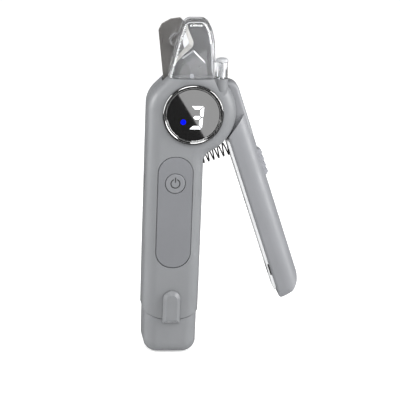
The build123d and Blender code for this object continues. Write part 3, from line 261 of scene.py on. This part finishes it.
def blade_with_painted_edge_highlight(name, colour, edge, front, depth):
    """Blade steel with a painted highlight: a lighter colour on the ground bevels and edges behind
    the front face, out to the cutting edge.
    """
    shader = Shader(metal(name, colour, 0.34, (1, 1, 0.06), 1400, metallic=0.55))
    y = shader.axes()[1]
    # painted highlight: the lighter edge colour is laid over the bevels and edges behind the front
    # face
    shader.tint(shader.near(y, front + depth, depth - HIGHLIGHT_INSET, HIGHLIGHT_FADE), edge)
    return shader.material


SHELL = moulded("shell_plastic", (0.168, 0.173, 0.180), 0.42)
PANEL = moulded("panel_plastic", (0.146, 0.150, 0.160), 0.42)
BUTTON = button_plastic()
LEVER = moulded("lever_plastic", (0.184, 0.188, 0.199), 0.40)
LEVER_LIGHT = moulded("lever_cover_plastic", grey(0.62, -0.01), 0.38)
BLACK = moulded("black_plastic", grey(0.018), 0.45)
RUBBER = moulded("dark_rubber", grey(0.03), 0.7, grain=1500, depth=0.5)
GRIP = moulded("grip_rubber", (0.25, 0.254, 0.275), 0.6, grain=1500, depth=0.5)
GREEN = moulded("solder_mask", (0.01, 0.12, 0.04), 0.3)
CELL = moulded("cell_sleeve", (0.02, 0.08, 0.3), 0.3)
ABRASIVE = moulded("abrasive_grit", (0.30, 0.25, 0.20), 0.9, grain=3500, depth=1.0)
CHROME = metal("bright_chrome", grey(0.36), 0.09, streaks=300, depth=0.03)
FIXED_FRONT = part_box("fixed_blade")[0].y
MOVING_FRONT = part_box("moving_blade")[0].y
STOP_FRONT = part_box("nail_stop")[0].y
# the second colour of each blade and of the nail stop is a painted highlight on its bevels and edges
BLADE = blade_with_painted_edge_highlight("fixed_blade_steel", grey(0.08, 0.0), (0.80, 0.77, 0.71), FIXED_FRONT, 0.9 * MM)
PADDLE = blade_with_painted_edge_highlight("moving_blade_steel", grey(0.19, 0.03), (0.36, 0.35, 0.33), MOVING_FRONT,
                      1.0 * MM)
STOP = blade_with_painted_edge_highlight("nail_stop_steel", grey(0.15, -0.02), grey(0.70), STOP_FRONT, 0.4 * MM)
STEEL = metal("plated_steel", grey(0.45), 0.3)
SPRING_STEEL = metal("black_spring_steel", grey(0.10), 0.30)
BRONZE = metal("sintered_bronze", (0.45, 0.28, 0.12), 0.45)
CLEAR = clear("clear_cover_plastic", (0.90, 0.91, 0.93), 0.04, body=0.95)
FROSTED = clear("frosted_plastic", (0.62, 0.63, 0.65), 0.35, body=0.45)
LAMP = moulded("lamp_lens_plastic", (0.62, 0.63, 0.68), 0.25)
WHITE_LIGHT = glowing("lit_white", (0.97, 0.98, 1.0), 1.0)
BLUE_LIGHT = glowing("lit_blue", (0.001, 0.004, 0.70), 0.8)


def display_glass():
    """Smoked display window: near black with a strong reflection."""
    shader = Shader.named("smoked_glass")
    haze = shader.noise(500, 2)
    shader.link(shader.blend_colours(haze, grey(0.004), grey(0.006)),
                shader.surface.inputs["Base Color"])
    shader.link(shader.ramp(haze, 0.01, 0.03), shader.surface.inputs["Roughness"])
    shader.surface.inputs["IOR"].default_value = GLASS_IOR
    return shader.material


GLASS = display_glass()

FINISHES = {
    SHELL: ["front_shell", "rear_shell", "bottom_cap", "lamp_pod"],
    PANEL: ["control_panel"],
    BUTTON: ["power_button"],
    STOP: ["nail_stop"],
    PADDLE: ["moving_blade"],
    LAMP: ["head_lamp"],
    LEVER: ["lever_shell"],
    LEVER_LIGHT: ["lever_cover"],
    BLACK: ["button_switch", "board_chips", "display_carrier", "motor_mount", "drum_hub"],
    RUBBER: ["bump_stop"],
    GRIP: ["grip_pad"],
    GREEN: ["main_board", "charge_board", "display_board", "lamp_board"],
    CELL: ["battery"],
    ABRASIVE: ["grinding_drum"],
    BLADE: ["fixed_blade"],
    STEEL: ["shell_screws", "charge_port", "motor", "motor_shaft", "drum_screw", "blade_holder",
            "holder_screws", "blade_rivets", "pivot_pin", "pivot_washers", "lever_screws",
            "lever_arm", "hinge_pin"],
    BRONZE: ["pivot_bush"],
    CLEAR: ["splash_cover"],
    FROSTED: ["hinge_cap", "lamp_lens"],
    WHITE_LIGHT: ["lit_digit"],
    BLUE_LIGHT: ["status_dot"],
    GLASS: ["display_glass"],
}


def finish_nodes():
    """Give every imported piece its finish."""
    for material, names in FINISHES.items():
        for name in names:
            mesh = NODES[name].data
            mesh.materials.clear()
            mesh.materials.append(material)


# ---- display bezel --------------------------------------------------------------------------
BEZEL_STEPS = 144
BEZEL_SLACK = 0.05           # mm between the bezel and the glass's rim
BEZEL_NECK = 1.05            # mm, wall of the neck behind the flange
BEZEL_SEAT = 1.0             # mm from the flange's back to the neck's end


def add_bezel():
    """Turned bezel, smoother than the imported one, on the same profile, in mm until it is spun."""
    low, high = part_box("display_bezel")
    outer = (high.x - low.x) / 2 / MM
    inner = (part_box("display_glass")[1].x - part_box("display_glass")[0].x) / 2 / MM + BEZEL_SLACK
    front, back = low.y / MM, high.y / MM
    seat = back - BEZEL_SEAT
    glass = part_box("display_glass")[0].y / MM
    profile = [(outer, seat), (outer, front + 0.9), (outer - 0.12, front + 0.45),
               (outer - 0.4, front + 0.12), (outer - 0.8, front), (outer - 1.15, front + 0.12),
               (outer - 1.45, front + 0.5), (outer - 1.65, front + 0.75),
               (inner + 0.35, glass - 0.25), (inner + 0.1, glass - 0.15), (inner, glass),
               (inner, back), (inner + BEZEL_NECK, back), (inner + BEZEL_NECK, seat)]
    shape = bmesh.new()
    verts = [shape.verts.new((r * MM, y * MM, 0)) for r, y in profile]
    edges = [shape.edges.new(pair) for pair in zip(verts, verts[1:] + verts[:1])]
    bmesh.ops.spin(shape, geom=verts + edges, cent=(0, 0, 0), axis=(0, 1, 0), angle=2 * pi,
                   steps=BEZEL_STEPS, use_merge=True)
    bmesh.ops.recalc_face_normals(shape, faces=shape.faces)
    bmesh.ops.translate(shape, verts=shape.verts,
                        vec=((low.x + high.x) / 2, 0, (low.z + high.z) / 2))
    for face in shape.faces:
        face.smooth = True
    mesh = bpy.data.meshes.new("bezel_ring")
    shape.to_mesh(mesh)
    shape.free()
    mesh.materials.append(CHROME)
    bezel = bpy.data.objects.new("bezel_ring", mesh)
    bpy.context.scene.collection.objects.link(bezel)
    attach(bezel, "housing")
    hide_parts("display_bezel")


# ---- spring ---------------------------------------------------------------------------------
SPRING_FOOT = Vector((11.0, 0, 106.2)) * MM       # middle of the end that stands in the body
SPRING_AXIS = Vector((0.9432, 0, 0.3322))
SPRING_LENGTH = 22.1 * MM
SPRING_RADIUS = 3.4 * MM
SPRING_WIRE = 0.4 * MM                            # radius of the wire
SPRING_TURNS = 7.8
SPRING_STEPS = 260
WIRE_SIDES = 10


def add_spring():
    """Smooth coil of round wire."""
    across = Vector((0, 1, 0))
    upward = SPRING_AXIS.cross(across)
    shape = bmesh.new()
    rings = []
    for step in range(SPRING_STEPS + 1):
        along = step / SPRING_STEPS
        turn = 2 * pi * SPRING_TURNS * along
        outward = across * cos(turn) + upward * sin(turn)
        around = upward * cos(turn) - across * sin(turn)
        run = around * 2 * pi * SPRING_RADIUS * SPRING_TURNS + SPRING_AXIS * SPRING_LENGTH
        binormal = run.normalized().cross(outward)
        middle = SPRING_FOOT + SPRING_AXIS * SPRING_LENGTH * along + outward * SPRING_RADIUS
        ring = []
        for side in range(WIRE_SIDES):
            angle = 2 * pi * side / WIRE_SIDES
            ring.append(shape.verts.new(
                middle + (outward * cos(angle) + binormal * sin(angle)) * SPRING_WIRE))
        rings.append(ring)
    for first, second in zip(rings, rings[1:]):
        for side in range(WIRE_SIDES):
            after = (side + 1) % WIRE_SIDES
            shape.faces.new((first[side], first[after], second[after], second[side]))
    shape.faces.new(list(reversed(rings[0])))
    shape.faces.new(rings[-1])
    bmesh.ops.recalc_face_normals(shape, faces=shape.faces)
    for face in shape.faces:
        face.smooth = len(face.verts) == 4
    mesh = bpy.data.meshes.new("return_spring")
    shape.to_mesh(mesh)
    shape.free()
    mesh.materials.append(SPRING_STEEL)
    spring = bpy.data.objects.new("return_spring", mesh)
    bpy.context.scene.collection.objects.link(spring)
    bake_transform(spring)
    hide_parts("spring")


# ---- studio ---------------------------------------------------------------------------------
VIEW_SIDE = -7.0         # degrees round from straight ahead
VIEW_HEIGHT = 15.5       # degrees above level
VIEW_ROLL = 2.1          # degrees that the upright tool leans to the right
VIEW_DISTANCE = 1.2
VIEW_TARGET = Vector((0.0153, 0, 0.08348))
SENSOR = 36.0
LENS = 198.7


def add_camera():
    side, height = radians(VIEW_SIDE), radians(VIEW_HEIGHT)
    back = Vector((sin(side) * cos(height), -cos(side) * cos(height), sin(height)))
    data = bpy.data.cameras.new("camera")
    data.sensor_width = SENSOR
    data.lens = LENS
    camera = bpy.data.objects.new("camera", data)
    bpy.context.scene.collection.objects.link(camera)
    level = (-back).to_track_quat("-Z", "Y").to_matrix().to_4x4()
    roll = Matrix.Rotation(radians(VIEW_ROLL), 4, "Z")
    camera.matrix_world = Matrix.Translation(VIEW_TARGET + back * VIEW_DISTANCE) @ level @ roll
    bpy.context.scene.camera = camera


FLOOR_GLOW = 0.42         # lit from below, so that it stays pale to its far edge
FLOOR_HALF = 3.0
FLOOR_DROP = 0.0002       # just under the tool, so that the two faces don't meet


def add_floor():
    mesh = bpy.data.meshes.new("floor")
    shape = bmesh.new()
    bmesh.ops.create_grid(shape, x_segments=1, y_segments=1, size=FLOOR_HALF)
    bmesh.ops.translate(shape, verts=shape.verts, vec=(0, 0, CAD_BOX[0].z - FLOOR_DROP))
    shape.to_mesh(mesh)
    shape.free()
    floor = bpy.data.objects.new("floor", mesh)
    bpy.context.scene.collection.objects.link(floor)
    shader = Shader.named("pale_floor")
    paper = shader.noise(3, 2)
    shader.link(shader.blend_colours(paper, grey(0.86), grey(0.9)),
                shader.surface.inputs["Base Color"])
    shader.link(shader.ramp(paper, 0.8, 0.9), shader.surface.inputs["Roughness"])
    shader.surface.inputs["Emission Color"].default_value = (1, 1, 1, 1)
    shader.surface.inputs["Emission Strength"].default_value = FLOOR_GLOW
    mesh.materials.append(shader.material)
    return floor


def softbox(name, size, power, place, aim):
    data = bpy.data.lights.new(name, "AREA")
    data.shape = "RECTANGLE"
    data.size, data.size_y = size
    data.energy = power
    light = bpy.data.objects.new(name, data)
    bpy.context.scene.collection.objects.link(light)
    place, aim = Vector(place), Vector(aim)
    light.location = place
    light.rotation_mode = "QUATERNION"
    light.rotation_quaternion = (aim - place).to_track_quat("-Z", "Y")


AMBIENT = 0.55           # soft light of the room
MIRRORED_ROOM = 0.07     # how bright the room is in reflections


def add_world():
    """Even soft light all round, much dimmer where it is only mirrored."""
    world = bpy.data.worlds.new("studio")
    world.use_nodes = True
    nodes = world.node_tree.nodes
    links = world.node_tree.links
    background = nodes["Background"]
    background.inputs["Color"].default_value = (1, 1, 1, 1)
    path = nodes.new("ShaderNodeLightPath")
    dim = nodes.new("ShaderNodeMapRange")
    dim.inputs["To Min"].default_value = AMBIENT
    dim.inputs["To Max"].default_value = MIRRORED_ROOM
    links.new(path.outputs["Is Glossy Ray"], dim.inputs["Value"])
    links.new(dim.outputs["Result"], background.inputs["Strength"])
    bpy.context.scene.world = world


GLASS_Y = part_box("display_glass")[0].y
SPLIT_TOP = (0.52 * MM, 144.46 * MM)   # line across the display where its reflection begins
SPLIT_LOW = (14.7 * MM, 122.4 * MM)
CARD_DISTANCE = 0.45
CARD_WIDTH = 0.03
CARD_STRENGTH = 2.7


def seen_in_glass(x, z, camera):
    """Point that the camera sees mirrored in the display at a place on it."""
    place = Vector((x, GLASS_Y, z))
    ray = (place - camera).normalized()
    ray.y = -ray.y
    return place + ray * CARD_DISTANCE


def add_card(camera):
    """Pale card whose straight edge shows in the display; only reflections see it."""
    across = Vector((SPLIT_LOW[0] - SPLIT_TOP[0], SPLIT_LOW[1] - SPLIT_TOP[1]))
    aside = Vector((-across.y, across.x)).normalized() * CARD_WIDTH
    top = Vector(SPLIT_TOP) - across * 0.5
    low = Vector(SPLIT_LOW) + across * 0.5
    corners = [top, low, low + aside, top + aside]
    mesh = bpy.data.meshes.new("card")
    shape = bmesh.new()
    shape.faces.new([shape.verts.new(seen_in_glass(*corner, camera)) for corner in corners])
    shape.to_mesh(mesh)
    shape.free()
    card = bpy.data.objects.new("card", mesh)
    bpy.context.scene.collection.objects.link(card)
    shader = Shader.named("pale_card")
    paper = shader.noise(5, 2)
    shader.link(shader.blend_colours(paper, grey(0.97), grey(1.0)),
                shader.surface.inputs["Emission Color"])
    shader.surface.inputs["Base Color"].default_value = (0, 0, 0, 1)
    shader.surface.inputs["Emission Strength"].default_value = CARD_STRENGTH
    mesh.materials.append(shader.material)
    card.visible_camera = False
    card.visible_diffuse = False
    card.visible_transmission = False
    card.visible_shadow = False


TOOL_MIDDLE = (0.015, 0, 0.09)
HEAD = (0.008, 0, 0.15)
# name, width and height, watts, place, what it is aimed at
SOFTBOXES = [
    ("left", (0.4, 0.8), 9, (-0.9, 0.12, 0.35), TOOL_MIDDLE),
    ("right", (0.4, 0.8), 11, (0.9, -0.30, 0.45), TOOL_MIDDLE),
    ("front", (0.35, 0.25), 3.0, (-0.05, -0.42, 0.55), HEAD),
]


def add_studio(floor):
    add_world()
    floor.visible_glossy = False
    add_card(bpy.context.scene.camera.matrix_world.translation)
    for light in SOFTBOXES:
        softbox(*light)


bpy.context.scene.view_settings.view_transform = "Standard"
finish_nodes()
add_bezel()
add_spring()
add_camera()
add_studio(add_floor())
